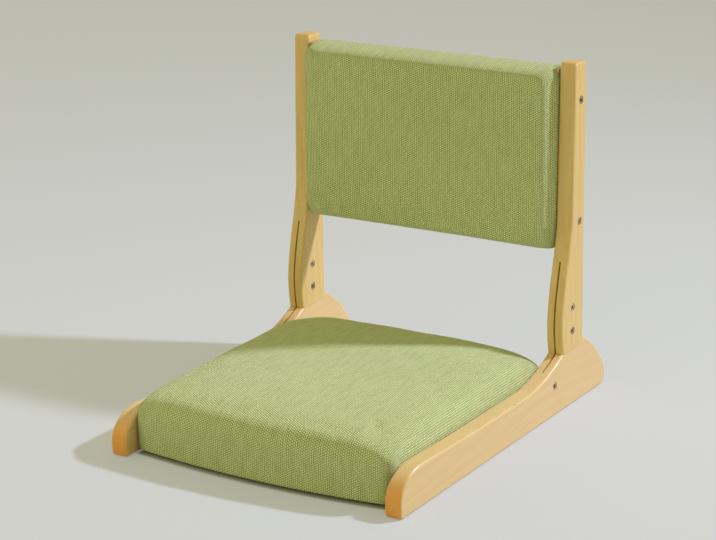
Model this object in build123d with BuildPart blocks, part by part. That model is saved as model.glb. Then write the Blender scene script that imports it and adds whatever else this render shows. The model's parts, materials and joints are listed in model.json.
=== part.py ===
from build123d import *
import math
import os

# Folding floor chair: two side rails on the floor with a seat cushion between them, and a backrest of two
# uprights with a back cushion, which turns on a steel plate in each rail and folds forward over the seat.
# Millimetres. X runs across the chair, the user faces -Y, Z is up. The origin is on the floor at the middle.
# Right is the +X side.

os.makedirs("parts", exist_ok=True)

# Overall sizes
chair_width = 440.0
timber = 24.0  # planed thickness of the side rails and uprights
rail_length = 541.0
edge_round = 3.5  # rounding along the edges of the timber
lean = 1.7  # degrees that the open backrest leans back

# Clearances
stop_gap = 0.3  # between the upright and the rail that it rests on
soft_gap = 0.3  # between a soft piece and its neighbour
fit_gap = 0.05  # radial, between a barrel, shank or dowel and its hole
end_gap = 1.0  # beyond the end of a shank or dowel in a blind hole
kerf_gap = 1.2  # around the edge of the hinge plate in its kerf

# Side rail
nose_depth = 52.0
nose_rise = 38.0
nose_height = 56.0
waist_height = 52.0
waist_from_front = 329.0
waist_sag = 1.4
shoulder_height = 78.0
shoulder_length = 58.0
saddle_run = 42.0  # rear part of the shoulder, which curves up to the heel under the upright
saddle_overrun = 1.3  # how much further the same arc is cut across the upright's foot
heel_depth = 66.0
heel_rise = 8.0  # heel above the shoulder
heel_flat = 3.0
tail_height = 22.0
tail_bulge = 7.0
tail_round = 14.0
toe_corner = 5.0
tail_corner = 12.0

# Curve of the rail's ramp, as shares of its run and rise from the shoulder down to the waist
ramp_top_run = 0.23
ramp_top_drop = 0.42
ramp_foot_run = 0.55
ramp_foot_rise = 0.19

# Upright, measured along the lean and forwards from its rear face
upright_length = 388.0
foot_depth = 56.7
bulge_depth = 60.8
bulge_height = 38.0
neck_depth = 35.6
neck_height = 183.0
top_depth = 31.0
top_corner = 6.0
neck_pull_share = 0.3  # how far the neck's curve is pulled along its ends
bulge_pull_share = 0.33

# Hinge
pivot_setback = 80.7  # pivot in front of the upright's rear foot corner
pivot_height = 42.0
plate_thickness = 2.0
plate_lobe = 12.0  # radius around the pivot hole
plate_leg_width = 26.0
plate_leg_top = 73.0
plate_inner_corner = 8.0
kerf_width = 2.5
saw_radius = 84.0
plate_bolt_depth = 31.0
plate_bolt_low = 25.0
plate_bolt_spacing = 33.0

# Bolts and sleeve nuts
head_diameter = 11.0
head_height = 2.5
head_sink = 0.6  # head below the face of the timber
head_room = 0.3  # radial room around a head
bolt_diameter = 6.0
barrel_diameter = 8.0
socket_size = 5.0
socket_depth = 1.8
nut_head_height = 2.0
barrel_short = 1.5  # end of the barrel short of the bolt's head

# Back bolts and insert nuts
back_bolt_depth = 15.0
back_bolt_low = 173.3
back_bolt_spacing = 164.1
insert_diameter = 10.0
insert_length = 15.0

# Seat cushion
seat_bottom = 5.0
seat_depth = 85.0
seat_front_setback = 21.0
seat_rear_setback = 7.0
seat_front_bow = 15.0
seat_rear_bow = 5.5
seat_roll = 19.0  # how far in the edge rolls over
seat_crown = 6.0
seat_crown_inset = 96.0  # where the crown is level
seat_front_corner = 10.0
seat_rear_corner = 16.0
seat_front_crest = 89.0  # corner radius where the roll ends and the crown starts
seat_rear_crest = 119.0

# Back cushion, measured along the lean and forwards from the upright's rear face
back_bottom = 134.6
back_top = 379.4
back_rear = 4.6
back_front = 61.0
back_top_bow = 1.0
back_bottom_draw = 1.0
back_roll = 10.0
back_crown = 3.0
back_crown_inset = 66.0
back_bottom_corner = 8.0
back_top_corner = 13.0
back_bottom_crest = 50.0
back_top_crest = 21.0

# Both cushions
cover_thickness = 1.2
side_draw = 1.0  # sides pulled in between the corners
flange_width = 24.0  # cover turned over the frame's edge
corner_room = 0.9  # largest corner radius, as a share of half the outline's shorter side
corner_growth = 0.25  # growth of a corner's radius, as a share of the inset
cloth_thickness = 0.8
cloth_inset = 8.0

# Frames inside the cushions
batten_width = 20.0
seat_frame_height = 38.0
seat_rail_depth = 24.0
seat_board_thickness = 9.0
back_frame_thickness = 18.0
back_cross_width = 30.0
back_board_thickness = 5.0
seat_dowel = 8.0
seat_dowel_length = 30.0
seat_dowel_inset = 10.0
back_dowel = 6.0
back_dowel_length = 28.0
back_dowel_inset = 8.0
board_screw_share = 1 / 3  # of the cushion's length, from each end to a batten's screw

# Screws and staples
screw_diameter = 4.0
screw_head = 8.0
seat_screw_length = 30.0
back_screw_length = 18.0
fixing_diameter = 5.0
fixing_head = 10.0
fixing_head_height = 3.0
fixing_bite = 14.0  # length of the fixing screw in the side rail
fixing_height = 26.0
staple_width = 10.0
staple_wire = 0.8
staple_leg = 6.0
staple_inset = 15.0
staple_pitch = 42.0

# Worked out from the sizes above
half_width = chair_width / 2
inner_face = half_width - timber
rail_front = -rail_length / 2
rail_back = rail_length / 2
heel_front = rail_back - heel_depth
shoulder_front = heel_front - shoulder_length
foot_rear = heel_front - stop_gap
foot_bottom = shoulder_height + stop_gap
heel_height = shoulder_height + heel_rise
pivot_y = foot_rear - pivot_setback
lean_cos = math.cos(math.radians(lean))
lean_sin = math.sin(math.radians(lean))
cushion_half = inner_face - soft_gap
frame_inset = cover_thickness + soft_gap

# The arc on which the upright stands, from the level shoulder up to the heel
saddle_front = heel_front - saddle_run
saddle_radius = (saddle_run**2 + heel_rise**2) / (2 * heel_rise)
saddle_turn = saddle_overrun * math.degrees(math.asin(saddle_run / saddle_radius))

# The backrest's own plane: its x is +X, its y runs up the lean and its z points forwards
back_plane = Plane(origin=(0, foot_rear, foot_bottom), x_dir=(1, 0, 0), z_dir=(0, -lean_cos, lean_sin))


def leaned(depth, height):
    """(y, z) of a point by its depth in front of the upright's rear face and its height up the lean."""
    return (
        foot_rear - depth * lean_cos + height * lean_sin,
        foot_bottom + depth * lean_sin + height * lean_cos,
    )


def leaned_at(depth, z):
    """(y, z) of the point at height z above the floor on the line at this depth."""
    return (foot_rear + (z - foot_bottom) * lean_sin / lean_cos - depth / lean_cos, z)


def export_piece(piece, name):
    piece.part.label = name
    export_step(piece.part, "parts/" + name + ".step")


def export_pair(right_piece, name):
    """Writes a right-hand piece and its mirror image on the left."""
    with BuildPart() as left_piece:
        mirror(right_piece.part, about=Plane.YZ)
    export_piece(right_piece, "right_" + name)
    export_piece(left_piece, "left_" + name)


def rods(base, spots, diameter, start, end, mode=Mode.ADD):
    """Round bars, or holes when subtracted, square to the base plane at spots, from start to end."""
    with BuildSketch(base.offset(start)) as profile:
        with Locations(*spots):
            Circle(diameter / 2)
    extrude(profile.sketch, amount=end - start, mode=mode)


def sockets(spots, start, end):
    """Hexagon sockets cut in along X at each (y, z) of spots."""
    with BuildSketch(Plane.YZ.offset(start)) as profile:
        with Locations(*spots):
            RegularPolygon(socket_size / 2, 6, major_radius=False)
    extrude(profile.sketch, amount=end - start, mode=Mode.SUBTRACT)


# Places of the fasteners as (y, z)
pivot_spot = (pivot_y, pivot_height)
plate_spots = [
    leaned(plate_bolt_depth, plate_bolt_low),
    leaned(plate_bolt_depth, plate_bolt_low + plate_bolt_spacing),
]
back_bolt_spots = [
    leaned(back_bolt_depth, back_bolt_low),
    leaned(back_bolt_depth, back_bolt_low + back_bolt_spacing),
]

# Faces that the bolts and nuts seat on, along X on the right side
head_top = half_width - head_sink
head_seat = head_top - head_height
nut_top = inner_face + head_sink
nut_seat = nut_top + nut_head_height
barrel_end = head_seat - barrel_short
fixing_xs = (inner_face, inner_face + fixing_bite + end_gap)


def sleeve_holes(spots):
    """Hole through right-hand timber for a bolt from outside and a sleeve nut from inside."""
    rods(Plane.YZ, spots, barrel_diameter + 2 * fit_gap, inner_face, half_width, Mode.SUBTRACT)
    rods(Plane.YZ, spots, head_diameter + 2 * head_room, head_seat, half_width, Mode.SUBTRACT)
    rods(Plane.YZ, spots, head_diameter + 2 * head_room, inner_face, nut_seat, Mode.SUBTRACT)


def bolts(spots, shank_end):
    """Socket-head bolts from the right, their heads seated below the outer face."""
    rods(Plane.YZ, spots, head_diameter, head_seat, head_top)
    rods(Plane.YZ, spots, bolt_diameter, shank_end, head_seat)
    sockets(spots, head_top - socket_depth, head_top)


def sleeve_nuts(spots):
    """Sleeve nuts from the inner face: a flat head, a barrel and a bore for the bolt."""
    rods(Plane.YZ, spots, head_diameter, nut_top, nut_seat)
    rods(Plane.YZ, spots, barrel_diameter, nut_seat, barrel_end)
    rods(Plane.YZ, spots, bolt_diameter + 2 * fit_gap, nut_seat, barrel_end, Mode.SUBTRACT)
    sockets(spots, nut_top, nut_top + socket_depth - fit_gap)


# Seat fixing screws: (y, z) along the side rail
seat_front = rail_front + seat_front_setback
seat_rear = shoulder_front - seat_rear_setback
seat_length = seat_rear - seat_front
fixing_count = 3
fixing_spots = [
    (seat_front + seat_length * (i + 0.5) / fixing_count, fixing_height) for i in range(fixing_count)
]

# Side rails: one outline in the YZ plane, extruded to the timber's thickness
waist_y = rail_front + waist_from_front
tail_middle = (
    (heel_front + heel_flat + rail_back) / 2 + tail_bulge / math.sqrt(2),
    (heel_height + tail_height) / 2 + tail_bulge / math.sqrt(2),
)
nose_back = rail_front + nose_depth
ramp_run = shoulder_front - waist_y
ramp_rise = shoulder_height - waist_height
kerf_rear = leaned_at(plate_bolt_depth - plate_leg_width / 2, shoulder_height)[0] + kerf_gap
kerf_front = pivot_y - plate_lobe - kerf_gap
kerf_floor = pivot_height - plate_lobe - kerf_gap

with BuildPart() as side_rail:
    with BuildSketch(Plane.YZ.offset(inner_face)) as rail_outline:
        with BuildLine():
            Line((rail_front, 0), (rail_back, 0))
            Line((rail_back, 0), (rail_back, tail_height))
            ThreePointArc((rail_back, tail_height), tail_middle, (heel_front + heel_flat, heel_height))
            Line((heel_front + heel_flat, heel_height), (heel_front, heel_height))
            TangentArc((saddle_front, shoulder_height), (heel_front, heel_height), tangent=(1, 0))
            Line((saddle_front, shoulder_height), (shoulder_front, shoulder_height))
            Bezier(
                (shoulder_front, shoulder_height),
                (shoulder_front - ramp_top_run * ramp_run, shoulder_height - ramp_top_drop * ramp_rise),
                (shoulder_front - ramp_foot_run * ramp_run, waist_height + ramp_foot_rise * ramp_rise),
                (waist_y, waist_height),
            )
            ThreePointArc(
                (waist_y, waist_height),
                ((waist_y + nose_back) / 2, (waist_height + nose_height) / 2 - waist_sag),
                (nose_back, nose_height),
            )
            EllipticalCenterArc((nose_back, nose_height - nose_rise), nose_depth, nose_rise, 90, arc_size=90)
            Line((rail_front, nose_height - nose_rise), (rail_front, 0))
        make_face()
        fillet(rail_outline.vertices().sort_by(Axis.X)[-2:].sort_by(Axis.Y)[-1], tail_round)
        fillet(rail_outline.vertices().group_by(Axis.Y)[0].sort_by(Axis.X)[0], toe_corner)
        fillet(rail_outline.vertices().group_by(Axis.Y)[0].sort_by(Axis.X)[-1], tail_corner)
    extrude(amount=timber)
    long_edges = side_rail.edges().group_by(Axis.X)[0] + side_rail.edges().group_by(Axis.X)[-1]
    joint_low = shoulder_height - stop_gap
    rounded = [
        e for e in long_edges if not (e.center().Z > joint_low and e.center().Y < heel_front + heel_flat)
    ]
    fillet(rounded, edge_round)
    with BuildSketch(Plane.YZ.offset(half_width - (timber + kerf_width) / 2)) as rail_kerf:
        with BuildLine():
            Polyline(
                (kerf_front, heel_height),
                (kerf_front, kerf_floor),
                (kerf_rear, kerf_floor),
                (kerf_rear, heel_height),
                close=True,
            )
        make_face()
        fillet(rail_kerf.vertices().group_by(Axis.Y)[0], plate_lobe)
    extrude(amount=kerf_width, mode=Mode.SUBTRACT)
    sleeve_holes([pivot_spot])
    rods(Plane.YZ, fixing_spots, fixing_diameter + 2 * fit_gap, *fixing_xs, mode=Mode.SUBTRACT)
export_pair(side_rail, "side_rail")

# Uprights
with BuildPart() as upright:
    with BuildSketch(Plane.YZ.offset(inner_face)) as upright_outline:
        rear_foot = (foot_rear, foot_bottom)
        front_foot = (foot_rear - foot_depth, foot_bottom)
        bulge = leaned(bulge_depth, bulge_height)
        neck = leaned(neck_depth, neck_height)
        front_top = leaned(top_depth, upright_length)
        neck_run = neck_height - bulge_height
        neck_pull = neck_run * neck_pull_share
        bulge_pull = neck_run * bulge_pull_share
        neck_slope = (neck_depth - top_depth) / (upright_length - neck_height)
        with BuildLine():
            Line(front_foot, rear_foot)
            Line(rear_foot, leaned(0, upright_length))
            Line(leaned(0, upright_length), front_top)
            Line(front_top, neck)
            Bezier(
                neck,
                leaned(neck_depth + neck_slope * neck_pull, neck_height - neck_pull),
                leaned(bulge_depth, bulge_height + bulge_pull),
                bulge,
            )
            Bezier(bulge, leaned(bulge_depth, bulge_height / 2), front_foot)
        make_face()
        fillet(upright_outline.vertices().sort_by(Axis.Y)[-2:], top_corner)
        with BuildLine():
            saddle = CenterArc(
                (saddle_front, shoulder_height + saddle_radius),
                saddle_radius - stop_gap,
                -90,
                saddle_turn,
            )
            under_foot = foot_bottom - edge_round
            Polyline(saddle @ 1, ((saddle @ 1).X, under_foot), (saddle_front, under_foot), saddle @ 0)
        make_face(mode=Mode.SUBTRACT)
    extrude(amount=timber)
    for side in (0, -1):
        fillet(upright.edges().group_by(Axis.X)[side].sort_by(Axis.Z)[2:], edge_round)
    kerf_depth = plate_bolt_depth - plate_leg_width / 2 - kerf_gap
    kerf_arc = plate_leg_top - plate_leg_width / 2
    with BuildSketch(Plane.YZ.offset(half_width - (timber + kerf_width) / 2)):
        with BuildLine():
            saw_reach = kerf_depth + saw_radius
            saw_below = edge_round  # the saw runs out under the foot
            Line(leaned(kerf_depth, -saw_below), leaned(kerf_depth, kerf_arc))
            TangentArc(
                leaned(kerf_depth, kerf_arc),
                leaned(saw_reach, kerf_arc + saw_radius),
                tangent=(lean_sin, lean_cos),
            )
            Line(leaned(saw_reach, kerf_arc + saw_radius), leaned(saw_reach, -saw_below))
            Line(leaned(saw_reach, -saw_below), leaned(kerf_depth, -saw_below))
        make_face()
    extrude(amount=kerf_width, mode=Mode.SUBTRACT)
    sleeve_holes(plate_spots)
    rods(Plane.YZ, back_bolt_spots, bolt_diameter + 2 * fit_gap, inner_face, half_width, Mode.SUBTRACT)
    rods(Plane.YZ, back_bolt_spots, head_diameter + 2 * head_room, head_seat, half_width, Mode.SUBTRACT)
export_pair(upright, "upright")

# Hinge plates: a lobe round the pivot, a leg back along the rail and a leg up into the upright
with BuildPart() as hinge_plate:
    with BuildSketch(Plane.YZ.offset(half_width - (timber + plate_thickness) / 2)) as plate_outline:
        leg_rear = plate_bolt_depth - plate_leg_width / 2
        leg_front = plate_bolt_depth + plate_leg_width / 2
        with BuildLine():
            Polyline(
                (pivot_y, pivot_height - plate_lobe),
                leaned_at(leg_rear, pivot_height - plate_lobe),
                leaned(leg_rear, plate_leg_top),
                leaned(leg_front, plate_leg_top),
                leaned_at(leg_front, pivot_height + plate_lobe),
                (pivot_y, pivot_height + plate_lobe),
                close=True,
            )
        make_face()
        inner_corner = leaned_at(leg_front, pivot_height + plate_lobe)
        fillet(plate_outline.vertices().sort_by_distance(inner_corner)[0], plate_inner_corner)
        fillet(plate_outline.vertices().sort_by(Axis.X)[-3:].sort_by(Axis.Y)[0], plate_lobe)
        fillet(plate_outline.vertices().sort_by(Axis.Y)[-2:], plate_leg_width / 2 - stop_gap)
        with Locations(pivot_spot):
            Circle(plate_lobe)
        with Locations(pivot_spot, *plate_spots):
            Circle(barrel_diameter / 2 + fit_gap, mode=Mode.SUBTRACT)
    extrude(amount=plate_thickness)
export_pair(hinge_plate, "hinge_plate")

# Pivot bolts and plate bolts, each with its sleeve nut
bolt_end = nut_seat + end_gap
with BuildPart() as pivot_bolt:
    bolts([pivot_spot], bolt_end)
export_pair(pivot_bolt, "pivot_bolt")
with BuildPart() as pivot_nut:
    sleeve_nuts([pivot_spot])
export_pair(pivot_nut, "pivot_sleeve_nut")
with BuildPart() as plate_bolts:
    bolts(plate_spots, bolt_end)
export_pair(plate_bolts, "plate_bolts")
with BuildPart() as plate_nuts:
    sleeve_nuts(plate_spots)
export_pair(plate_nuts, "plate_sleeve_nuts")

# Cushions. A cushion's form is lofted through outlines with rounded corners: from a flat base up a wall,
# over a rolled edge and up a shallow crown. Its corners are tight round the wall and much rounder at the
# crest, so that they droop. Its outline's low edge is the front of the seat or the bottom of the back.
seat_wall = cover_thickness + seat_frame_height + seat_board_thickness
back_wall = cover_thickness + back_frame_thickness + back_board_thickness
seat_form = {
    "plane": Plane.XY.offset(seat_bottom),
    "low": seat_front,
    "high": seat_rear,
    "low_bow": seat_front_bow,
    "high_bow": seat_rear_bow,
    "depth": seat_depth,
    "wall": seat_wall,
    "roll": seat_roll,
    "crown": seat_crown,
    "crown_inset": seat_crown_inset,
    "corners": (seat_front_corner, seat_rear_corner),
    "crests": (seat_front_crest, seat_rear_crest),
}
back_form = {
    "plane": back_plane.offset(back_rear),
    "low": back_bottom,
    "high": back_top,
    "low_bow": -back_bottom_draw,
    "high_bow": back_top_bow,
    "depth": back_front - back_rear,
    "wall": back_wall,
    "roll": back_roll,
    "crown": back_crown,
    "crown_inset": back_crown_inset,
    "corners": (back_bottom_corner, back_top_corner),
    "crests": (back_bottom_crest, back_top_crest),
}
roll_angles = (22, 45, 68)
crown_steps = (0.2, 0.55, 1.0)


def bowed_edge(start, end, bow):
    """An edge of an outline that runs anticlockwise, bowed outwards at its middle."""
    run = math.dist(start, end)
    middle_x = (start[0] + end[0]) / 2 + bow * (end[1] - start[1]) / run
    middle_y = (start[1] + end[1]) / 2 - bow * (end[0] - start[0]) / run
    ThreePointArc(start, (middle_x, middle_y), end)


def cushion_outline(form, height, inset, crest=0.0):
    """The outline at a height above the base, drawn in by inset; crest, from 0 to 1, rounds its corners."""
    half = cushion_half - inset
    low = form["low"] + inset
    high = form["high"] - inset
    with BuildSketch(form["plane"].offset(height)) as outline:
        with BuildLine():
            bowed_edge((-half, low), (half, low), form["low_bow"])
            bowed_edge((half, low), (half, high), -side_draw)
            bowed_edge((half, high), (-half, high), form["high_bow"])
            bowed_edge((-half, high), (-half, low), -side_draw)
        make_face()
        corners = outline.vertices().sort_by(Axis.Y)
        widest = corner_room * min(half, (high - low) / 2)
        for pair, tight, round_off in zip((corners[:2], corners[2:]), form["corners"], form["crests"]):
            fillet(pair, min(tight + (round_off - tight) * crest + inset * corner_growth, widest))
    return outline.sketch


def cushion_levels(form, skin, base):
    """(height, inset, crest) of each outline, offset inwards by skin, from the height base up."""
    wall = form["wall"]
    roll_in = form["roll"] - skin
    roll_up = form["depth"] - form["crown"] - wall - skin
    levels = [(base, skin, 0.0), (wall / 2, skin, 0.0), (wall, skin, 0.0)]
    for angle in roll_angles:
        turn = math.radians(angle)
        crest = 1 - math.cos(turn)
        levels.append((wall + roll_up * math.sin(turn), skin + roll_in * crest, crest))
    crown_run = form["crown_inset"] - form["roll"]
    for step in crown_steps:
        rise = form["crown"] * (1 - (1 - step) ** 2)
        levels.append((wall + roll_up + rise, form["roll"] + crown_run * step, 1.0))
    return levels


def cushion_solid(form, skin, base, mode=Mode.ADD):
    """Lofts the cushion's form, offset inwards by skin."""
    outlines = [cushion_outline(form, *level) for level in cushion_levels(form, skin, base)]
    loft(outlines, ruled=True, mode=mode)


def cushion_cover(form):
    """A skin over the cushion's form, turned in over its base as a flange."""
    cushion_solid(form, 0.0, 0.0)
    cushion_solid(form, cover_thickness, cover_thickness, Mode.SUBTRACT)
    extrude(cushion_outline(form, 0.0, flange_width), amount=cover_thickness, mode=Mode.SUBTRACT)


def cushion_foam(form):
    """Foam that fills the cover in front of the board."""
    cushion_solid(form, frame_inset, 0.0)
    split(bisect_by=form["plane"].offset(form["wall"]), keep=Keep.TOP)


def cushion_layer(form, inset, start, end):
    """A flat layer of the cushion, from height start to height end."""
    extrude(cushion_outline(form, start, inset), amount=end - start)


def frame_piece(form, height, x_range, y_range):
    """A frame member: the part of the cushion's outline inside a rectangle."""
    with BuildSketch(form["plane"].offset(cover_thickness)) as window:
        with Locations(((x_range[0] + x_range[1]) / 2, (y_range[0] + y_range[1]) / 2)):
            Rectangle(x_range[1] - x_range[0], y_range[1] - y_range[0])
    extrude(cushion_outline(form, cover_thickness, frame_inset), amount=height)
    extrude(window.sketch, amount=height, mode=Mode.INTERSECT)


def screws(plane, spots, length, room=0.0, mode=Mode.ADD):
    """Countersunk screws driven in from plane, against its normal, or their holes when subtracted."""
    head_depth = (screw_head - screw_diameter) / 2
    tip = end_gap if mode == Mode.SUBTRACT else 0.0
    with BuildSketch(plane) as heads:
        with Locations(*spots):
            Circle(screw_head / 2 + room)
    extrude(heads.sketch, amount=-head_depth, taper=45, mode=mode)
    rods(plane, spots, screw_diameter + 2 * room, 0.0, -length - tip, mode)


def board_screw_spots(form, cross_width):
    """Two screws along each side batten and two along each cross member."""
    batten_step = (form["high"] - form["low"]) * board_screw_share
    low_cross = form["low"] + frame_inset + cross_width / 2
    high_cross = form["high"] - frame_inset - cross_width / 2
    spots = []
    for side in (-1, 1):
        spots += [(side * batten_x, form["low"] + batten_step), (side * batten_x, form["high"] - batten_step)]
        spots += [(side * batten_x / 2, low_cross), (side * batten_x / 2, high_cross)]
    return spots


def staple_rows(form):
    """Places of the staples round a cushion's base: those along its ends, then those along its sides."""
    middle = (form["low"] + form["high"]) / 2
    reach = cushion_half - staple_inset
    end_count = int((reach - staple_pitch / 2) // staple_pitch)
    side_count = int(((form["high"] - form["low"]) / 2 - staple_pitch) // staple_pitch)
    ends = []
    for i in range(-end_count, end_count + 1):
        x = i * staple_pitch
        bow = form["low_bow"] * (1 - (x / cushion_half) ** 2)
        ends += [(x, form["low"] + staple_inset - bow), (x, form["high"] - staple_inset)]
    sides = []
    for i in range(-side_count, side_count + 1):
        sides += [(-reach, middle + i * staple_pitch), (reach, middle + i * staple_pitch)]
    return ends, sides


def staples(form):
    """Staples under the dust cloth, their legs driven into the frame."""
    back = form["plane"].offset(-cloth_thickness - staple_wire)
    leg = (staple_width - staple_wire) / 2
    for spots, along in zip(staple_rows(form), ((1, 0), (0, 1))):
        with BuildSketch(back) as backs:
            with Locations(*spots):
                Rectangle(staple_wire + 2 * leg * along[0], staple_wire + 2 * leg * along[1])
        extrude(backs.sketch, amount=staple_wire)
        ends = [(x + end * leg * along[0], y + end * leg * along[1]) for x, y in spots for end in (-1, 1)]
        with BuildSketch(back) as legs:
            with Locations(*ends):
                Rectangle(staple_wire, staple_wire)
        extrude(legs.sketch, amount=staple_wire + staple_leg)


# Seat frame: a bowed front rail, a rear rail, and a batten beside each side rail
batten_outer = cushion_half - frame_inset - side_draw
batten_inner = batten_outer - batten_width
batten_x = (batten_outer + batten_inner) / 2
front_joint = seat_front + frame_inset + seat_rail_depth
rear_joint = seat_rear - frame_inset - seat_rail_depth
seat_dowel_zs = (
    seat_bottom + cover_thickness + seat_dowel_inset,
    seat_bottom + cover_thickness + seat_frame_height - seat_dowel_inset,
)
seat_dowel_spots = [(z, batten_x) for z in seat_dowel_zs]
seat_board_plane = Plane.XY.offset(seat_bottom + seat_wall)
seat_screw_spots = board_screw_spots(seat_form, seat_rail_depth)


def seat_dowels(diameter, room, mode=Mode.ADD):
    """Right-hand corner dowels of the seat frame, or their holes, each way from the two joints."""
    for joint in (front_joint, rear_joint):
        reach = seat_dowel_length / 2 + room
        rods(Plane.ZX, seat_dowel_spots, diameter, joint - reach, joint + reach, mode)


def seat_cross_rail(name, y_range):
    """A rail across the seat frame, with the holes of its dowels and screws on both sides."""
    with BuildPart() as half_drilled:
        frame_piece(seat_form, seat_frame_height, (-half_width, half_width), y_range)
        seat_dowels(seat_dowel + 2 * fit_gap, end_gap, Mode.SUBTRACT)
        screws(seat_board_plane, seat_screw_spots, seat_screw_length, fit_gap, Mode.SUBTRACT)
    with BuildPart() as cross_rail:
        add(half_drilled.part)
        mirror(half_drilled.part, about=Plane.YZ, mode=Mode.INTERSECT)
    export_piece(cross_rail, name)


seat_cross_rail("seat_front_rail", (seat_front - seat_front_bow, front_joint))
seat_cross_rail("seat_rear_rail", (rear_joint, seat_rear + seat_rear_bow))

fixing_end = inner_face + fixing_bite
with BuildPart() as seat_batten:
    frame_piece(seat_form, seat_frame_height, (batten_inner, half_width), (front_joint, rear_joint))
    seat_dowels(seat_dowel + 2 * fit_gap, end_gap, Mode.SUBTRACT)
    screws(seat_board_plane, seat_screw_spots, seat_screw_length, fit_gap, Mode.SUBTRACT)
    rods(Plane.YZ, fixing_spots, fixing_diameter + 2 * fit_gap, batten_inner, half_width, Mode.SUBTRACT)
export_pair(seat_batten, "seat_batten")

with BuildPart() as dowels:
    seat_dowels(seat_dowel, 0.0)
    mirror(about=Plane.YZ)
export_piece(dowels, "seat_frame_dowels")

with BuildPart() as seat_fixings:
    rods(Plane.YZ, fixing_spots, fixing_head, batten_inner - fixing_head_height, batten_inner)
    rods(Plane.YZ, fixing_spots, fixing_diameter, batten_inner, fixing_end)
    mirror(about=Plane.YZ)
export_piece(seat_fixings, "seat_fixing_screws")

with BuildPart() as seat_board:
    cushion_layer(seat_form, frame_inset, seat_wall - seat_board_thickness, seat_wall)
    screws(seat_board_plane, seat_screw_spots, seat_screw_length, fit_gap, Mode.SUBTRACT)
export_piece(seat_board, "seat_board")

with BuildPart() as seat_screws:
    screws(seat_board_plane, seat_screw_spots, seat_screw_length)
export_piece(seat_screws, "seat_board_screws")

with BuildPart() as seat_foam:
    cushion_foam(seat_form)
export_piece(seat_foam, "seat_foam")

with BuildPart() as seat_cover:
    cushion_cover(seat_form)
    for side in (-1, 1):
        fixing_hole = fixing_diameter + 2 * soft_gap
        rods(Plane.YZ, fixing_spots, fixing_hole, side * batten_inner, side * half_width, Mode.SUBTRACT)
export_piece(seat_cover, "seat_cover")

with BuildPart() as seat_dust_cloth:
    cushion_layer(seat_form, cloth_inset, -cloth_thickness, 0)
export_piece(seat_dust_cloth, "seat_dust_cloth")

with BuildPart() as seat_staples:
    staples(seat_form)
export_piece(seat_staples, "seat_staples")

# Back frame: two full-height battens that take the bolts, with a top and a bottom batten between them
bottom_edge = back_bottom + frame_inset
top_edge = back_top - frame_inset
back_frame_middle = back_rear + cover_thickness + back_frame_thickness / 2
back_dowel_spots = [
    leaned(back_frame_middle, height)
    for height in (
        bottom_edge + back_dowel_inset,
        bottom_edge + back_cross_width - back_dowel_inset,
        top_edge - back_cross_width + back_dowel_inset,
        top_edge - back_dowel_inset,
    )
]
back_board_plane = back_form["plane"].offset(back_wall)
back_screw_spots = board_screw_spots(back_form, back_cross_width)
insert_inner = batten_outer - insert_length


def back_dowels(diameter, room, side=1, mode=Mode.ADD):
    """Corner dowels of one side of the back frame, or their holes."""
    reach = back_dowel_length / 2 + room
    x_start = side * (batten_inner - reach)
    x_end = side * (batten_inner + reach)
    rods(Plane.YZ, back_dowel_spots, diameter, x_start, x_end, mode)


with BuildPart() as back_batten:
    batten_reach = (back_bottom, back_top + back_top_bow)
    frame_piece(back_form, back_frame_thickness, (batten_inner, half_width), batten_reach)
    back_dowels(back_dowel + 2 * fit_gap, end_gap, mode=Mode.SUBTRACT)
    screws(back_board_plane, back_screw_spots, back_screw_length, fit_gap, Mode.SUBTRACT)
    rods(Plane.YZ, back_bolt_spots, insert_diameter + 2 * fit_gap, batten_inner, half_width, Mode.SUBTRACT)
export_pair(back_batten, "back_batten")

for name, low, high in (
    ("back_bottom_batten", back_bottom, bottom_edge + back_cross_width),
    ("back_top_batten", top_edge - back_cross_width, back_top + back_top_bow),
):
    with BuildPart() as cross_batten:
        frame_piece(back_form, back_frame_thickness, (-batten_inner, batten_inner), (low, high))
        for side in (-1, 1):
            back_dowels(back_dowel + 2 * fit_gap, end_gap, side, Mode.SUBTRACT)
        screws(back_board_plane, back_screw_spots, back_screw_length, fit_gap, Mode.SUBTRACT)
    export_piece(cross_batten, name)

with BuildPart() as dowels:
    for side in (-1, 1):
        back_dowels(back_dowel, 0.0, side)
export_piece(dowels, "back_frame_dowels")

with BuildPart() as back_board:
    cushion_layer(back_form, frame_inset, back_wall - back_board_thickness, back_wall)
    screws(back_board_plane, back_screw_spots, back_screw_length, fit_gap, Mode.SUBTRACT)
export_piece(back_board, "back_board")

with BuildPart() as back_screws:
    screws(back_board_plane, back_screw_spots, back_screw_length)
export_piece(back_screws, "back_board_screws")

with BuildPart() as back_foam:
    cushion_foam(back_form)
export_piece(back_foam, "back_foam")

with BuildPart() as back_cover:
    cushion_cover(back_form)
    for side in (-1, 1):
        bolt_hole = bolt_diameter + 2 * soft_gap
        rods(Plane.YZ, back_bolt_spots, bolt_hole, side * batten_inner, side * half_width, Mode.SUBTRACT)
export_piece(back_cover, "back_cover")

with BuildPart() as back_cloth:
    cushion_layer(back_form, cloth_inset, -cloth_thickness, 0)
export_piece(back_cloth, "back_rear_cloth")

with BuildPart() as back_staples:
    staples(back_form)
export_piece(back_staples, "back_staples")

# Back bolts through the uprights into insert nuts in the battens
with BuildPart() as back_bolts:
    bolts(back_bolt_spots, insert_inner + end_gap)
export_pair(back_bolts, "back_bolts")

with BuildPart() as insert_nuts:
    rods(Plane.YZ, back_bolt_spots, insert_diameter, insert_inner, batten_outer)
    rods(Plane.YZ, back_bolt_spots, bolt_diameter + 2 * fit_gap, insert_inner, batten_outer, Mode.SUBTRACT)
    mirror(about=Plane.YZ)
export_piece(insert_nuts, "back_insert_nuts")
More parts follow.
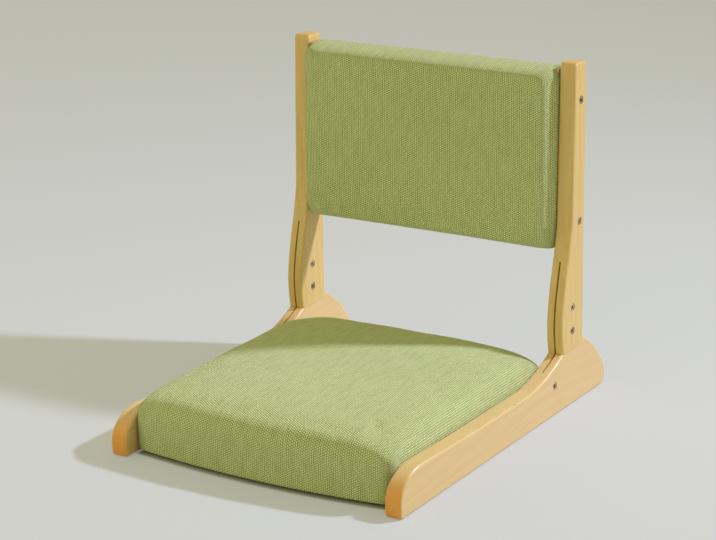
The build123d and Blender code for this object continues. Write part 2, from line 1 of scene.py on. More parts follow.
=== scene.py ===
import json
import math
import bmesh
import bpy
import numpy as np
from mathutils import Matrix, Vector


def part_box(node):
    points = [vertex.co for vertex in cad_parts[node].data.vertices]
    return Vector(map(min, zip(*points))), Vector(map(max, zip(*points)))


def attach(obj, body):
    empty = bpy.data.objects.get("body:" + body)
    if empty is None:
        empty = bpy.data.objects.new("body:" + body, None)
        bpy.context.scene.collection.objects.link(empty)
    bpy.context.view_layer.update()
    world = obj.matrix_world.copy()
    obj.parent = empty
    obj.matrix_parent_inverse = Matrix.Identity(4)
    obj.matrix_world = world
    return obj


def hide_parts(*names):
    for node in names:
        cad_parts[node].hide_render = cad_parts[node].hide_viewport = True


# Folding floor chair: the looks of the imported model. Metres, X across, -Y towards the front, Z up.
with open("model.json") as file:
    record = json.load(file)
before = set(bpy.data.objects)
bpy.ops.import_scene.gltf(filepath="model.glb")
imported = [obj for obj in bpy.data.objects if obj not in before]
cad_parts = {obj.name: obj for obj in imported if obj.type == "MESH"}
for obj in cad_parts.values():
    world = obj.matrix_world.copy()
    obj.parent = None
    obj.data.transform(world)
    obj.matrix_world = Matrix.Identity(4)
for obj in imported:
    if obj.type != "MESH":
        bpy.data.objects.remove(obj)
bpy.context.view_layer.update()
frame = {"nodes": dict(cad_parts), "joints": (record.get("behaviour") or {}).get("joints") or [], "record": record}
nodes = frame["nodes"]
pivot = frame["joints"][0]["pos_m"]
print("frame loaded", len(nodes), "nodes")


# ---- shader helpers

def addNode(tree, kind, **settings):
    node = tree.nodes.new(kind)
    for name, value in settings.items():
        setattr(node, name, value)
    return node


# links a socket to a node's input, or sets the input's value where plain numbers are given. An input is
# named by its label, with _ for a space, or as i and its place in the list
def feed(tree, node, **inputs):
    for name, value in inputs.items():
        numbered = name[0] == "i" and name[1:].isdigit()
        socket = node.inputs[int(name[1:]) if numbered else name.replace("_", " ")]
        if isinstance(value, bpy.types.NodeSocket):
            tree.links.new(value, socket)
        else:
            socket.default_value = value
    return node.outputs[0] if node.outputs else None


def calc(tree, operation, first, second=0.0, third=0.0):
    node = addNode(tree, "ShaderNodeMath", operation=operation)
    return feed(tree, node, i0=first, i1=second, i2=third)


# value moved from one range to another, smooth at both ends
def ramp(tree, value, low, high, toLow=0.0, toHigh=1.0):
    node = addNode(tree, "ShaderNodeMapRange", interpolation_type="SMOOTHSTEP")
    return feed(tree, node, Value=value, From_Min=low, From_Max=high, To_Min=toLow, To_Max=toHigh)


def mixColour(tree, factor, first, second):
    node = addNode(tree, "ShaderNodeMix", data_type="RGBA")
    feed(tree, node, i0=factor, i6=first, i7=second)
    return node.outputs[2]


def stretched(tree, vector, scale, turn=(0, 0, 0)):
    node = addNode(tree, "ShaderNodeMapping")
    return feed(tree, node, Vector=vector, Scale=scale, Rotation=turn)


def noise(tree, vector, scale, detail=3.0, rough=0.5):
    node = addNode(tree, "ShaderNodeTexNoise")
    return feed(tree, node, Vector=vector, Scale=scale, Detail=detail, Roughness=rough)


# a node group with named inputs and outputs; kinds are Float, Vector or Color
def makeGroup(name, inputs, outputs):
    group = bpy.data.node_groups.new(name, "ShaderNodeTree")
    for direction, sockets in (("INPUT", inputs), ("OUTPUT", outputs)):
        for socketName, kind, value in sockets:
            socket = group.interface.new_socket(socketName, in_out=direction, socket_type="NodeSocket" + kind)
            if direction == "INPUT" and value is not None:
                socket.default_value = value
    return group, addNode(group, "NodeGroupInput"), addNode(group, "NodeGroupOutput")


def placeGroup(tree, group, **inputs):
    node = addNode(tree, "ShaderNodeGroup", node_tree=group)
    feed(tree, node, **inputs)
    return node


def newMaterial(name, **shader):
    material = bpy.data.materials.new(name)
    material.use_nodes = True
    tree = material.node_tree
    principled = tree.nodes["Principled BSDF"]
    feed(tree, principled, **shader)
    return material, tree, principled


def bumpInto(tree, principled, height, depth):
    node = addNode(tree, "ShaderNodeBump")
    feed(tree, node, Height=height, Distance=depth)
    tree.links.new(node.outputs["Normal"], principled.inputs["Normal"])


# sRGB colour to the linear one that a socket takes
def paint(red, green, blue):
    linear = [((c / 255 + 0.055) / 1.055) ** 2.4 if c > 10 else c / 255 / 12.92 for c in (red, green, blue)]
    return (*linear, 1.0)


# ---- grain group: long streaks, broad growth bands and fine pores along Z of its vector

def makeGrain():
    group, given, result = makeGroup(
        "grain",
        [("Vector", "Vector", None), ("Light", "Color", (1, 1, 1, 1)), ("Dark", "Color", (0, 0, 0, 1)),
         ("Pores", "Float", 1.0)],
        [("Color", "Color", None), ("Roughness", "Float", None), ("Height", "Float", None)],
    )
    vector = given.outputs["Vector"]
    sway = noise(group, stretched(group, vector, (3.0, 3.0, 1.2)), 2.0, 1.0)
    bendBy = addNode(group, "ShaderNodeVectorMath", operation="SCALE")
    feed(group, bendBy, i0=(1.0, 1.0, 0.0), Scale=calc(group, "MULTIPLY", sway, 0.035))
    bent = addNode(group, "ShaderNodeVectorMath", operation="ADD")
    bentVector = feed(group, bent, i0=vector, i1=bendBy.outputs[0])
    streaks = noise(group, stretched(group, bentVector, (260.0, 260.0, 5.0)), 1.0, 4.0, 0.62)
    bands = addNode(group, "ShaderNodeTexWave", bands_direction="DIAGONAL", wave_profile="SAW")
    bandVector = stretched(group, bentVector, (75.0, 75.0, 2.2))
    feed(group, bands, Vector=bandVector, Scale=0.55, Distortion=3.0, Detail=2.0, Detail_Scale=0.6)
    pores = noise(group, stretched(group, bentVector, (1500.0, 1500.0, 55.0)), 1.0, 2.0)
    patches = noise(group, stretched(group, vector, (9.0, 9.0, 4.0)), 1.0, 1.0)
    streakMask = ramp(group, streaks, 0.35, 0.68)
    bandMask = ramp(group, bands.outputs["Fac"], 0.2, 1.0)
    mask = calc(group, "MULTIPLY_ADD", bandMask, 0.45, calc(group, "MULTIPLY", streakMask, 0.55))
    poreMask = calc(group, "MULTIPLY", ramp(group, pores, 0.58, 0.72), given.outputs["Pores"])
    both = calc(group, "ADD", mask, calc(group, "MULTIPLY", poreMask, 0.35))
    tone = calc(group, "ADD", both, calc(group, "MULTIPLY_ADD", patches, 0.5, -0.25))
    tone.node.use_clamp = True
    colour = mixColour(group, tone, given.outputs["Light"], given.outputs["Dark"])
    rough = calc(group, "MULTIPLY_ADD", streaks, 0.12, 0.28)
    height = calc(group, "SUBTRACT", calc(group, "MULTIPLY", streaks, 0.3), poreMask)
    feed(group, result, Color=colour, Roughness=rough, Height=height)
    return group


# ---- weave group: yarns that pass over and under, as a brick pattern of rounded bumps. U and V come in
# metres; a bump's height is the product of two half sines across its cell, and every other column is
# shifted half a cell

def makeWeave():
    group, given, result = makeGroup(
        "weave",
        [("Vector", "Vector", None), ("Across", "Float", 0.0032), ("Along", "Float", 0.0034),
         ("Light", "Color", (1, 1, 1, 1)), ("Dark", "Color", (0, 0, 0, 1)), ("Waver", "Float", 0.0006)],
        [("Color", "Color", None), ("Height", "Float", None)],
    )
    vector = given.outputs["Vector"]
    wander = addNode(group, "ShaderNodeTexNoise")
    feed(group, wander, Vector=vector, Scale=70.0, Detail=1.0)
    centred = addNode(group, "ShaderNodeVectorMath", operation="SUBTRACT")
    feed(group, centred, i0=wander.outputs["Color"], i1=(0.5, 0.5, 0.5))
    scaled = addNode(group, "ShaderNodeVectorMath", operation="SCALE")
    feed(group, scaled, i0=centred.outputs[0], Scale=given.outputs["Waver"])
    moved = addNode(group, "ShaderNodeVectorMath", operation="ADD")
    feed(group, moved, i0=vector, i1=scaled.outputs[0])
    parts = addNode(group, "ShaderNodeSeparateXYZ")
    feed(group, parts, Vector=moved.outputs[0])
    column = calc(group, "DIVIDE", parts.outputs["X"], given.outputs["Across"])
    row = calc(group, "DIVIDE", parts.outputs["Y"], given.outputs["Along"])
    odd = calc(group, "MODULO", calc(group, "ABSOLUTE", calc(group, "FLOOR", column)), 2.0)
    shifted = calc(group, "MULTIPLY_ADD", odd, 0.5, row)
    acrossSine = calc(group, "ABSOLUTE", calc(group, "SINE", calc(group, "MULTIPLY", column, math.pi)))
    alongSine = calc(group, "ABSOLUTE", calc(group, "SINE", calc(group, "MULTIPLY", shifted, math.pi)))
    acrossBump = calc(group, "MULTIPLY_ADD", acrossSine, 0.85, 0.15)
    alongBump = calc(group, "MULTIPLY_ADD", alongSine, 0.9, 0.1)
    bump = calc(group, "MULTIPLY", acrossBump, alongBump)
    fibre = noise(group, stretched(group, vector, (900.0, 900.0, 900.0)), 1.0, 3.0, 0.7)
    slub = noise(group, stretched(group, vector, (160.0, 34.0, 1.0)), 1.0, 2.0)
    cloud = noise(group, stretched(group, vector, (7.0, 7.0, 7.0)), 1.0, 2.0)
    # colour follows the bump: the yarns' crowns go towards Light as painted light and the gaps between yarns
    # towards Dark as painted shade; slub, fibre and cloud add tone that varies at random
    paintedYarnShade = calc(group, "ADD", ramp(group, bump, 0.05, 0.7), calc(group, "MULTIPLY_ADD", slub, 0.5, -0.25))
    toned = calc(group, "ADD", paintedYarnShade, calc(group, "MULTIPLY_ADD", fibre, 0.5, -0.25))
    varied = calc(group, "ADD", toned, calc(group, "MULTIPLY_ADD", cloud, 0.16, -0.08))
    varied.node.use_clamp = True
    colour = mixColour(group, varied, given.outputs["Dark"], given.outputs["Light"])
    height = calc(group, "ADD", bump, calc(group, "MULTIPLY", fibre, 0.18))
    feed(group, result, Color=colour, Height=height)
    return group


# ---- worn metal group: fine scratches and dull patches

def makeWornMetal():
    group, given, result = makeGroup(
        "wornMetal",
        [("Vector", "Vector", None), ("Bright", "Color", (1, 1, 1, 1)), ("Dull", "Color", (0, 0, 0, 1))],
        [("Color", "Color", None), ("Roughness", "Float", None), ("Height", "Float", None)],
    )
    vector = given.outputs["Vector"]
    scratches = noise(group, stretched(group, vector, (220.0, 2600.0, 1400.0)), 1.0, 3.0, 0.6)
    patches = noise(group, vector, 260.0, 3.0)
    colour = mixColour(group, ramp(group, patches, 0.35, 0.7), given.outputs["Bright"], given.outputs["Dull"])
    scratched = calc(group, "MULTIPLY", scratches, 0.12)
    rough = calc(group, "ADD", calc(group, "MULTIPLY_ADD", patches, 0.25, 0.18), scratched)
    feed(group, result, Color=colour, Roughness=rough, Height=scratches)
    return group


grain = makeGrain()
weave = makeWeave()
wornMetal = makeWornMetal()
print("shader groups built")


# ---- materials

bumpDepths = {"timber": 0.00006, "metal": 0.00002, "lining": 0.0003, "foam": 0.0004}

# end is the colour where the grain runs out of a face, which takes up more varnish
timberLooks = {
    "railTimber": {"light": paint(234, 201, 139), "dark": paint(229, 194, 131), "end": paint(242, 168, 62),
                   "endShare": 1.0, "along": "Y", "coat": 0.3, "pores": 0.2},
    "uprightTimber": {"light": paint(231, 200, 124), "dark": paint(223, 187, 108), "end": paint(226, 180, 88),
                      "endShare": 0.8, "along": "Z", "coat": 0.3, "pores": 0.35},
    "frameTimber": {"light": paint(214, 186, 140), "dark": paint(188, 154, 106), "end": paint(180, 144, 96),
                    "endShare": 1.0, "along": "X", "coat": 0.0, "pores": 1.0},
    "dowelTimber": {"light": paint(206, 172, 124), "dark": paint(172, 132, 84), "end": paint(168, 128, 80),
                    "endShare": 1.0, "along": "Y", "coat": 0.0, "pores": 1.0},
    "plywood": {"light": paint(216, 188, 142), "dark": paint(194, 160, 114), "end": paint(186, 150, 104),
                "endShare": 1.0, "along": "X", "coat": 0.0, "pores": 1.0},
}
grainTurns = {"X": (0, math.pi / 2, 0), "Y": (math.pi / 2, 0, 0), "Z": (0, 0, 0)}


def timberMaterial(name, look):
    material, tree, principled = newMaterial(name, Coat_Weight=look["coat"], Coat_Roughness=0.3, IOR=1.45)
    place = addNode(tree, "ShaderNodeTexCoord")
    turned = stretched(tree, place.outputs["Object"], (1, 1, 1), grainTurns[look["along"]])
    wood = placeGroup(tree, grain, Vector=turned, Light=look["light"], Dark=look["dark"], Pores=look["pores"])
    facing = addNode(tree, "ShaderNodeSeparateXYZ")
    feed(tree, facing, Vector=place.outputs["Normal"])
    endFacing = calc(tree, "ABSOLUTE", facing.outputs[look["along"]])
    ends = ramp(tree, endFacing, 0.35, 0.95, 0.0, look["endShare"])
    colour = mixColour(tree, ends, wood.outputs["Color"], look["end"])
    feed(tree, principled, Base_Color=colour, Roughness=wood.outputs["Roughness"])
    bumpInto(tree, principled, wood.outputs["Height"], bumpDepths["timber"])
    return material


metalLooks = {
    "boltSteel": {"bright": paint(226, 214, 184), "dull": paint(150, 132, 98)},
    "screwSteel": {"bright": paint(206, 198, 168), "dull": paint(160, 148, 112)},
    "plateSteel": {"bright": paint(150, 150, 150), "dull": paint(104, 104, 106)},
    "stapleSteel": {"bright": paint(200, 200, 200), "dull": paint(150, 150, 150)},
}


def metalMaterial(name, look):
    material, tree, principled = newMaterial(name, Metallic=1.0)
    place = addNode(tree, "ShaderNodeTexCoord")
    worn = placeGroup(tree, wornMetal, Vector=place.outputs["Object"], Bright=look["bright"],
                      Dull=look["dull"])
    feed(tree, principled, Base_Color=worn.outputs["Color"], Roughness=worn.outputs["Roughness"])
    bumpInto(tree, principled, worn.outputs["Height"], bumpDepths["metal"])
    return material


fabricLook = {
    # light is laid on the yarns' crowns as painted light and dark between the yarns as painted shade, with random
    # tone between the two
    "light": paint(230, 240, 173),
    "dark": paint(139, 150, 76),
    "across": 0.0030,  # one cell of the weave
    "along": 0.0032,
    "bump": 0.0009,
    "uvName": "weave",
}


def fabricMaterial():
    material, tree, principled = newMaterial("greenWeave", Roughness=0.92, Sheen_Weight=0.25,
                                             Sheen_Roughness=0.5)
    principled.inputs["Specular IOR Level"].default_value = 0.25
    place = addNode(tree, "ShaderNodeUVMap", uv_map=fabricLook["uvName"])
    cloth = placeGroup(tree, weave, Vector=place.outputs["UV"], Across=fabricLook["across"],
                       Along=fabricLook["along"], Light=fabricLook["light"], Dark=fabricLook["dark"])
    feed(tree, principled, Base_Color=cloth.outputs["Color"])
    bumpInto(tree, principled, cloth.outputs["Height"], fabricLook["bump"])
    return material


def liningMaterial():
    material, tree, principled = newMaterial("blackLining", Roughness=0.9)
    place = addNode(tree, "ShaderNodeTexCoord")
    specks = noise(tree, place.outputs["Object"], 900.0, 4.0, 0.7)
    colour = mixColour(tree, ramp(tree, specks, 0.3, 0.75), paint(20, 20, 20), paint(52, 51, 49))
    feed(tree, principled, Base_Color=colour)
    bumpInto(tree, principled, specks, bumpDepths["lining"])
    return material


def foamMaterial():
    material, tree, principled = newMaterial("foam", Roughness=0.95)
    place = addNode(tree, "ShaderNodeTexCoord")
    cells = addNode(tree, "ShaderNodeTexVoronoi", feature="F1")
    feed(tree, cells, Vector=place.outputs["Object"], Scale=700.0)
    cellMask = ramp(tree, cells.outputs["Distance"], 0.1, 0.7)
    colour = mixColour(tree, cellMask, paint(214, 206, 172), paint(238, 232, 206))
    feed(tree, principled, Base_Color=colour)
    bumpInto(tree, principled, cells.outputs["Distance"], bumpDepths["foam"])
    return material


materials = {name: timberMaterial(name, look) for name, look in timberLooks.items()}
materials.update({name: metalMaterial(name, look) for name, look in metalLooks.items()})
materials.update({"greenWeave": fabricMaterial(), "blackLining": liningMaterial(), "foam": foamMaterial()})

slotMaterials = {
    "rail_timber": "railTimber",
    "upright_timber": "uprightTimber",
    "frame_timber": "frameTimber",
    "dowel_timber": "dowelTimber",
    "plywood": "plywood",
    "foam": "foam",
    "green_fabric": "greenWeave",
    "lining_cloth": "blackLining",
    "hinge_steel": "plateSteel",
    "staple_steel": "stapleSteel",
    "screw_steel": "screwSteel",
    "bolt_steel": "boltSteel",
}
for part in frame["record"]["subparts"]:
    meshData = nodes[part["node"]].data
    meshData.materials.clear()
    meshData.materials.append(materials[slotMaterials[part["material_slot"]]])
print("materials on CAD nodes")


# ---- cushions. Low is the front of the seat or the bottom of the back, high the other end

seatLow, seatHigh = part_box("seat_cover")
seatCushion = {
    "halfX": seatHigh.x,
    "halfY": 0.1945,
    "middleY": -0.055,
    "depth": 0.0852,
    "wall": 0.0522,  # straight wall up to the board
    "roll": 0.019,  # how far in the edge rolls over
    "crown": 0.006,
    "crownPower": 2.85,
    "bowLow": 0.015,  # edges bowed outwards
    "bowHigh": 0.0056,
    "cornerLow": (0.010, 0.089),  # radius round the wall, and where the crown starts
    "cornerHigh": (0.0164, 0.119),
    "cells": 96,
    "swell": 0.002,  # the most that a point moves in the cloth simulation
    "pinned": 0.040,  # height up to which the cover is held by the rails
}
backLean = math.radians(1.7)
narrower = 0.0008  # how far the back cushion stays inside its CAD cover on each side
backCushion = {
    "halfX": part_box("back_cover")[1].x - narrower,
    "halfY": 0.1230,
    "middleY": 0.257,  # up the lean from the uprights' feet
    "depth": 0.0564,
    "rear": 0.0046,  # base of the cushion in front of the uprights' rear faces
    "wall": 0.0243,
    "roll": 0.010,
    "crown": 0.004,
    "crownPower": 2.4,
    "bowLow": -0.0011,
    "bowHigh": 0.0006,
    "cornerLow": (0.008, 0.0498),
    "cornerHigh": (0.0127, 0.0206),
    "cells": 92,
    "swell": 0.0012,
    "pinned": 0.012,
}
pivotToFoot = (0.0807, 0.0363)  # back and up from the pivot to the uprights' rear foot corners
uprightFoot = (pivot[1] + pivotToFoot[0], pivot[2] + pivotToFoot[1])  # (y, z)


tuck = 0.0035  # radius of the quarter circle by which the wall's foot turns under
rollWeight = 1.6  # cells on the roll, against its length
wallPower = 1.8  # draws the wall's cells towards its foot
tiny = 1e-9  # keeps a division from being by zero


# A closed cushion from square grids. With r the larger of |a| and |b| over the grid, a point goes out
# from the middle of the crown to the roll, over it as a quarter of an ellipse, and down the wall, whose foot
# turns under. Along a ring it follows a rectangle whose corners are arcs: the nearest point of the inner
# rectangle, plus the corner radius along the direction away from it. Ends bow outwards as
# 1 - (x / halfX)^2.
def cushionGrid(form, cells):
    steps = np.linspace(-1, 1, cells + 1)
    a, b = np.meshgrid(steps, steps, indexing="ij")
    ring = np.maximum(np.abs(a), np.abs(b))
    safe = np.maximum(ring, tiny)
    rollUp = form["depth"] - form["crown"] - form["wall"]
    crownRun = form["halfX"] - form["roll"]
    rollRun = math.pi / 2 * math.sqrt((form["roll"] ** 2 + rollUp ** 2) / 2)
    weighedRoll = rollWeight * rollRun
    total = crownRun + weighedRoll + form["wall"]
    crownEnd, rollEnd = crownRun / total, (crownRun + weighedRoll) / total
    onCrown = np.clip(ring / crownEnd, 0, 1)
    onRoll = np.clip((ring - crownEnd) / (rollEnd - crownEnd), 0, 1)
    onWall = 1 - (1 - np.clip((ring - rollEnd) / (1 - rollEnd), 0, 1)) ** wallPower
    inset = form["roll"] * (1 - np.sin(onRoll * math.pi / 2))
    crest = np.where(onRoll > 0, inset / form["roll"], 1.0)
    crownRise = form["crown"] * (1 - onCrown ** form["crownPower"])
    height = form["wall"] + rollUp * np.cos(onRoll * math.pi / 2) + crownRise
    height = height - form["wall"] * onWall
    developed = rollRun * onRoll + form["wall"] * onWall - (form["roll"] - inset)
    inset = inset + tuck * (1 - np.sqrt(1 - np.clip(1 - height / tuck, 0, 1) ** 2))
    x, y, normalX, normalY = ringPoint(form, a / safe, b / safe, inset, crest, onCrown)
    uv = np.stack([x + normalX * developed, y + normalY * developed], -1)
    return np.stack([x, bowed(form, x, y), height], -1).reshape(-1, 3), uv.reshape(-1, 2)


def ringPoint(form, squareX, squareY, inset, crest, scale):
    sizeX = (form["halfX"] - inset) * scale
    sizeY = (form["halfY"] - inset) * scale
    low, high = (form[end][0] + (form[end][1] - form[end][0]) * crest for end in ("cornerLow", "cornerHigh"))
    radius = np.minimum(np.where(squareY > 0, high, low) * scale, np.minimum(sizeX, sizeY))
    cornerX, cornerY = squareX * sizeX, squareY * sizeY
    innerX = np.clip(cornerX, radius - sizeX, sizeX - radius)
    innerY = np.clip(cornerY, radius - sizeY, sizeY - radius)
    awayX, awayY = cornerX - innerX, cornerY - innerY
    length = np.maximum(np.hypot(awayX, awayY), tiny)
    normalX, normalY = awayX / length, awayY / length
    return innerX + normalX * radius, innerY + normalY * radius, normalX, normalY


def bowed(form, x, y):
    lowShare, highShare = (np.clip(0.5 + sign * y / (2 * form["halfY"]), 0, 1) ** 2 for sign in (-1, 1))
    return y + (1 - (x / form["halfX"]) ** 2) * (form["bowHigh"] * highShare - form["bowLow"] * lowShare)


# the flat base: square rings that follow the same outline, drawn in by inset
def baseGrid(form, cells, inset):
    steps = np.linspace(-1, 1, cells + 1)
    a, b = (grid.reshape(-1) for grid in np.meshgrid(steps, steps, indexing="ij"))
    ring = np.maximum(np.abs(a), np.abs(b))
    safe = np.maximum(ring, tiny)
    x, y, _, _ = ringPoint(form, a / safe, b / safe, inset, 0.0, ring)
    return np.stack([x, bowed(form, x, y), np.zeros_like(x)], -1), np.stack([x, y], -1)


def gridFaces(cells):
    index = np.arange((cells + 1) ** 2).reshape(cells + 1, cells + 1)
    return np.stack([index[:-1, :-1], index[1:, :-1], index[1:, 1:], index[:-1, 1:]], -1).reshape(-1, 4)


def meshFrom(name, points, faces, uv):
    data = bpy.data.meshes.new(name)
    data.from_pydata(points.tolist(), [], faces)
    layer = data.uv_layers.new(name=fabricLook["uvName"])
    corners = np.concatenate([np.array(face) for face in faces])
    layer.data.foreach_set("uv", uv[corners].astype(np.float32).reshape(-1))
    data.polygons.foreach_set("use_smooth", np.ones(len(faces), bool))
    obj = bpy.data.objects.new(name, data)
    bpy.context.scene.collection.objects.link(obj)
    return obj


weldGap = 1e-5


def makeCushion(name, form, place):
    cells = form["cells"]
    top, topUv = cushionGrid(form, cells)
    base, baseUv = baseGrid(form, cells, tuck)
    faces = gridFaces(cells).tolist() + (gridFaces(cells)[:, ::-1] + len(top)).tolist()
    obj = meshFrom(name, np.concatenate([top, base]), faces, np.concatenate([topUv, baseUv]))
    shape = bmesh.new()
    shape.from_mesh(obj.data)
    bmesh.ops.remove_doubles(shape, verts=shape.verts, dist=weldGap)
    shape.to_mesh(obj.data)
    shape.free()
    obj.data.update()
    swellCloth(obj, form)
    settle(obj, form, place)
    smoother = obj.modifiers.new("smooth", "SUBSURF")
    smoother.levels = smoother.render_levels = 1
    obj.data.materials.append(materials["greenWeave"])
    return obj


def coordinates(data):
    points = np.zeros(len(data.vertices) * 3)
    data.vertices.foreach_get("co", points)
    return points.reshape(-1, 3)


pressureCloth = {
    "force": 4.0,
    "stiffness": 12.0,
    "quality": 4,
    "frames": 20,
    "holdFade": 0.02,  # height over which the pins let go
}


# cloth under pressure; the base and the lower wall are pinned, and no point moves further than the
# form's swell
def swellCloth(obj, form):
    start = coordinates(obj.data)
    group = obj.vertex_groups.new(name="held")
    hold = np.clip(1 - (start[:, 2] - form["pinned"]) / pressureCloth["holdFade"], 0, 1)
    for weight in np.unique(np.round(hold, 2)):
        if weight > 0:
            group.add(np.nonzero(np.round(hold, 2) == weight)[0].tolist(), float(weight), "REPLACE")
    cloth = obj.modifiers.new("pressure", "CLOTH")
    cloth.settings.use_pressure = True
    cloth.settings.uniform_pressure_force = pressureCloth["force"]
    cloth.settings.vertex_group_mass = "held"
    cloth.settings.effector_weights.gravity = 0.0
    cloth.settings.tension_stiffness = pressureCloth["stiffness"]
    cloth.settings.compression_stiffness = pressureCloth["stiffness"]
    cloth.settings.quality = pressureCloth["quality"]
    cloth.point_cache.frame_end = pressureCloth["frames"]
    for number in range(1, pressureCloth["frames"] + 1):
        bpy.context.scene.frame_set(number)
    evaluated = obj.evaluated_get(bpy.context.evaluated_depsgraph_get()).to_mesh()
    swollen = coordinates(evaluated)
    obj.modifiers.remove(cloth)
    bpy.context.scene.frame_set(1)
    move = swollen - start
    length = np.linalg.norm(move, axis=1, keepdims=True)
    move = move * form["swell"] * np.tanh(length / form["swell"]) / np.maximum(length, tiny)
    obj.data.vertices.foreach_set("co", (start + move).reshape(-1))
    most = round(float(length.max()) * 1000, 1)
    print(obj.name, "swollen by up to", most, "mm, kept to", form["swell"] * 1000)


unevenness = {"height": 0.0004, "fade": 0.02}  # metres; it fades in above the wall


# keeps the cushion off the timber beside it, lays waves of 10 to 16 cm over it, and puts it in its place
def settle(obj, form, place):
    points = coordinates(obj.data)
    points[:, 0] = np.clip(points[:, 0], -form["halfX"], form["halfX"])
    x, y = points[:, 0], points[:, 1]
    wave = np.sin(x * 61 + 0.7) * np.sin(y * 47 + 1.9) + 0.6 * np.sin(x * 23 + y * 31)
    fade = np.clip((points[:, 2] - form["wall"]) / unevenness["fade"], 0, 1)
    points[:, 2] += unevenness["height"] * wave * fade
    obj.data.vertices.foreach_set("co", place(points).reshape(-1))
    obj.data.update()


def placeSeat(points):
    return points + np.array([0, seatCushion["middleY"], seatLow.z])


def placeBack(points):
    cosLean, sinLean = math.cos(backLean), math.sin(backLean)
    up = points[:, 1] + backCushion["middleY"]
    forward = points[:, 2] + backCushion["rear"]
    y = uprightFoot[0] - forward * cosLean + up * sinLean
    z = uprightFoot[1] + forward * sinLean + up * cosLean
    return np.stack([points[:, 0], y, z], -1)


seatPiece = makeCushion("seatCushion", seatCushion, placeSeat)
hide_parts("seat_cover", "seat_foam")
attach(seatPiece, "base")
backPiece = makeCushion("backCushion", backCushion, placeBack)
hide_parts("back_cover", "back_foam")
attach(backPiece, "backrest")
print("cushions made")


# ---- lining cloths: flat sheets under the seat and behind the back cushion, puckered a little at the staples

liningCloth = {
    "thickness": 0.0006,
    "pucker": 0.00025,
    "puckers": 150,  # radians a metre
    "cells": 60,
    "inset": 0.008,
    "offset": -0.0005,  # its middle from the cushion's base
}


def makeLining(name, form, place):
    points, uv = baseGrid(form, liningCloth["cells"], liningCloth["inset"])
    puckers = np.sin(points[:, 0] * liningCloth["puckers"]) * np.sin(points[:, 1] * liningCloth["puckers"])
    points[:, 2] = liningCloth["offset"] + liningCloth["pucker"] * puckers
    obj = meshFrom(name, place(points), gridFaces(liningCloth["cells"])[:, ::-1].tolist(), uv)
    body = obj.modifiers.new("thickness", "SOLIDIFY")
    body.thickness = liningCloth["thickness"]
    body.offset = 0.0
    obj.data.materials.append(materials["blackLining"])
    return obj


seatLining = makeLining("seatDustCloth", seatCushion, placeSeat)
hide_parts("seat_dust_cloth")
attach(seatLining, "base")
backLining = makeLining("backRearCloth", backCushion, placeBack)
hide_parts("back_rear_cloth")
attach(backLining, "backrest")
print("lining cloths made")


# ---- stage, light and camera

stageLook = {
    "halfSide": 9.0,
    "floor": paint(211, 213, 210),
    "glowShare": 0.35,
    "glowSides": (0.19, 0.2),  # |x| over which the glow comes back at the rails
    "glowRear": (0.1, 0.15),  # y over which it comes back at the seat's rear
    "glowFront": (-0.003, 0.002),  # from ahead of the seat's front edge to behind it, over which it stops
    "shade": (0.475, 0.445, 0.245, 1.0),  # the world's light on things
    "seen": (0.60, 0.61, 0.56, 1.0),  # the world where it is seen itself
}
photoCamera = {
    "azimuth": 32.904,
    "elevation": 17.782,
    "roll": -1.7115,
    "at": (1.5957, -2.4757, 1.1518),
    "focalPixels": 2354.6,
    "imageWidth": 716,
}


def seenRays(tree):
    path = addNode(tree, "ShaderNodeLightPath")
    return calc(tree, "MAXIMUM", path.outputs["Is Camera Ray"], calc(
        tree, "MAXIMUM", path.outputs["Is Glossy Ray"], path.outputs["Is Transmission Ray"]))


# one plain colour. Rays that are seen take a share of it as glow, so that shadows stay as light as in the
# photograph. The glow stops under the seat, so that the dark line where the seat meets the floor is a real
# shadow. The seat's front edge bows as bowLow * (1 - (x / halfX)^2).
def floorMaterial():
    material, tree, principled = newMaterial("paleFloor", Base_Color=stageLook["floor"], Roughness=0.85)
    place = addNode(tree, "ShaderNodeTexCoord")
    spot = addNode(tree, "ShaderNodeSeparateXYZ")
    feed(tree, spot, Vector=place.outputs["Object"])
    bow, reach = seatCushion["bowLow"], seatCushion["halfY"] - seatCushion["middleY"]
    fromMiddle = calc(tree, "ABSOLUTE", spot.outputs["X"])
    aslant = calc(tree, "POWER", calc(tree, "DIVIDE", fromMiddle, seatCushion["halfX"]), 2.0)
    behindFront = calc(tree, "ADD", spot.outputs["Y"], calc(tree, "MULTIPLY_ADD", aslant, -bow, bow + reach))
    betweenRails = ramp(tree, fromMiddle, *stageLook["glowSides"], 1.0, 0.0)
    aheadOfRear = ramp(tree, spot.outputs["Y"], *stageLook["glowRear"], 1.0, 0.0)
    insideFront = ramp(tree, behindFront, *stageLook["glowFront"])
    under = calc(tree, "MULTIPLY", insideFront, calc(tree, "MULTIPLY", betweenRails, aheadOfRear))
    glow = addNode(tree, "ShaderNodeEmission")
    feed(tree, glow, Color=stageLook["floor"])
    blend = addNode(tree, "ShaderNodeMixShader")
    share = calc(tree, "MULTIPLY", seenRays(tree), stageLook["glowShare"])
    feed(tree, blend, i0=calc(tree, "MULTIPLY", share, calc(tree, "SUBTRACT", 1.0, under)))
    tree.links.new(principled.outputs[0], blend.inputs[1])
    tree.links.new(glow.outputs[0], blend.inputs[2])
    tree.links.new(blend.outputs[0], tree.nodes["Material Output"].inputs["Surface"])
    return material


def makeStage():
    half = stageLook["halfSide"]
    corners = [(-half, -half, 0), (half, -half, 0), (half, half, 0), (-half, half, 0)]
    data = bpy.data.meshes.new("floor")
    data.from_pydata(corners, [], [(0, 1, 2, 3)])
    floor = bpy.data.objects.new("floor", data)
    bpy.context.scene.collection.objects.link(floor)
    data.materials.append(floorMaterial())
    world = bpy.data.worlds.new("studio")
    bpy.context.scene.world = world
    world.use_nodes = True
    tree = world.node_tree
    colour = mixColour(tree, seenRays(tree), stageLook["shade"], stageLook["seen"])
    feed(tree, tree.nodes["Background"], Color=colour)


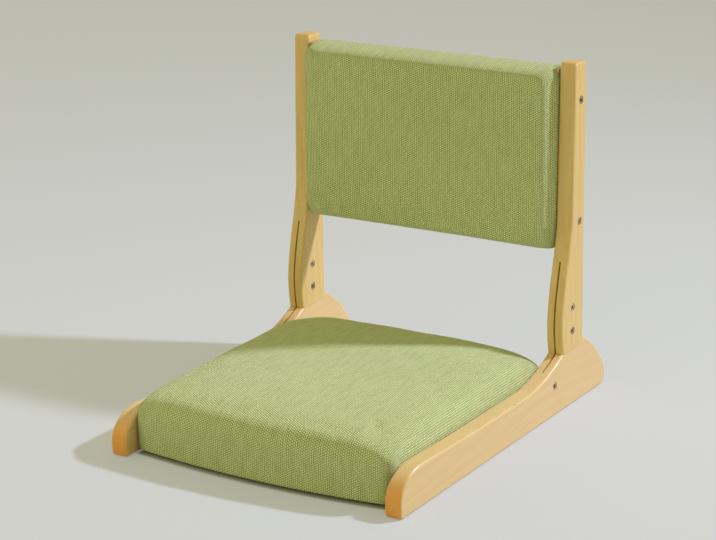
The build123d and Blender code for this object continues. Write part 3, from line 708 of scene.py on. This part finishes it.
# the key is small and close, so its shadows spread; a steady lamp's light doesn't fall off with distance
lamps = {
    "key": {"at": (1.117, 0.7675, 1.293), "size": 0.11, "power": 9.6, "colour": (0.69, 0.72, 1.0),
            "steady": True},
    "side": {"at": (-1.5, -0.9, 0.9), "size": 1.0, "power": 2.2, "colour": (1.0, 0.92, 0.7),
             "steady": False},
    "fill": {"at": (-1.2, -2.6, 1.6), "size": 1.6, "power": 6.0, "colour": (1.0, 0.93, 0.66),
             "steady": False},
}
lampTarget = np.array([0.0, 0.0, 0.15])


# an area lamp turned to the lamps' target, low in the middle of the chair
def makeLamp(name, look):
    data = bpy.data.lights.new(name, "AREA")
    data.size = look["size"]
    data.energy = look["power"]
    data.color = look["colour"]
    if look["steady"]:
        data.use_nodes = True
        falloff = addNode(data.node_tree, "ShaderNodeLightFalloff")
        feed(data.node_tree, falloff, Strength=1.0)
        feed(data.node_tree, data.node_tree.nodes["Emission"], Strength=falloff.outputs["Constant"])
    lamp = bpy.data.objects.new(name, data)
    bpy.context.scene.collection.objects.link(lamp)
    away = np.array(look["at"]) - lampTarget
    away = away / np.linalg.norm(away)
    side = np.cross((0, 0, 1), away)
    side = side / np.linalg.norm(side)
    up = np.cross(away, side)
    lamp.matrix_world = Matrix(np.block([[np.stack([side, up, away], 1), np.array(look["at"])[:, None]],
                                         [np.array([[0, 0, 0, 1]])]]).tolist())


# the camera looks from its place along the azimuth and elevation, turned by the roll about its own axis
def makeCamera(look):
    azimuth, elevation, roll = (math.radians(look[key]) for key in ("azimuth", "elevation", "roll"))
    level = math.cos(elevation)
    back = np.array([math.sin(azimuth) * level, -math.cos(azimuth) * level, math.sin(elevation)])
    right = np.cross(-back, (0, 0, 1))
    right = right / np.linalg.norm(right)
    up = np.cross(right, -back)
    rolledRight = right * math.cos(roll) + up * math.sin(roll)
    rolledUp = up * math.cos(roll) - right * math.sin(roll)
    data = bpy.data.cameras.new("photoCamera")
    data.sensor_width = 36.0
    data.lens = look["focalPixels"] / look["imageWidth"] * data.sensor_width
    camera = bpy.data.objects.new("photoCamera", data)
    bpy.context.scene.collection.objects.link(camera)
    rows = [[rolledRight[i], rolledUp[i], back[i], look["at"][i]] for i in range(3)]
    camera.matrix_world = Matrix(rows + [[0, 0, 0, 1]])
    bpy.context.scene.camera = camera


makeStage()
for lampName, lampLook in lamps.items():
    makeLamp(lampName, lampLook)
makeCamera(photoCamera)
bpy.context.scene.view_settings.view_transform = "Standard"
print("stage, lamps and camera set")
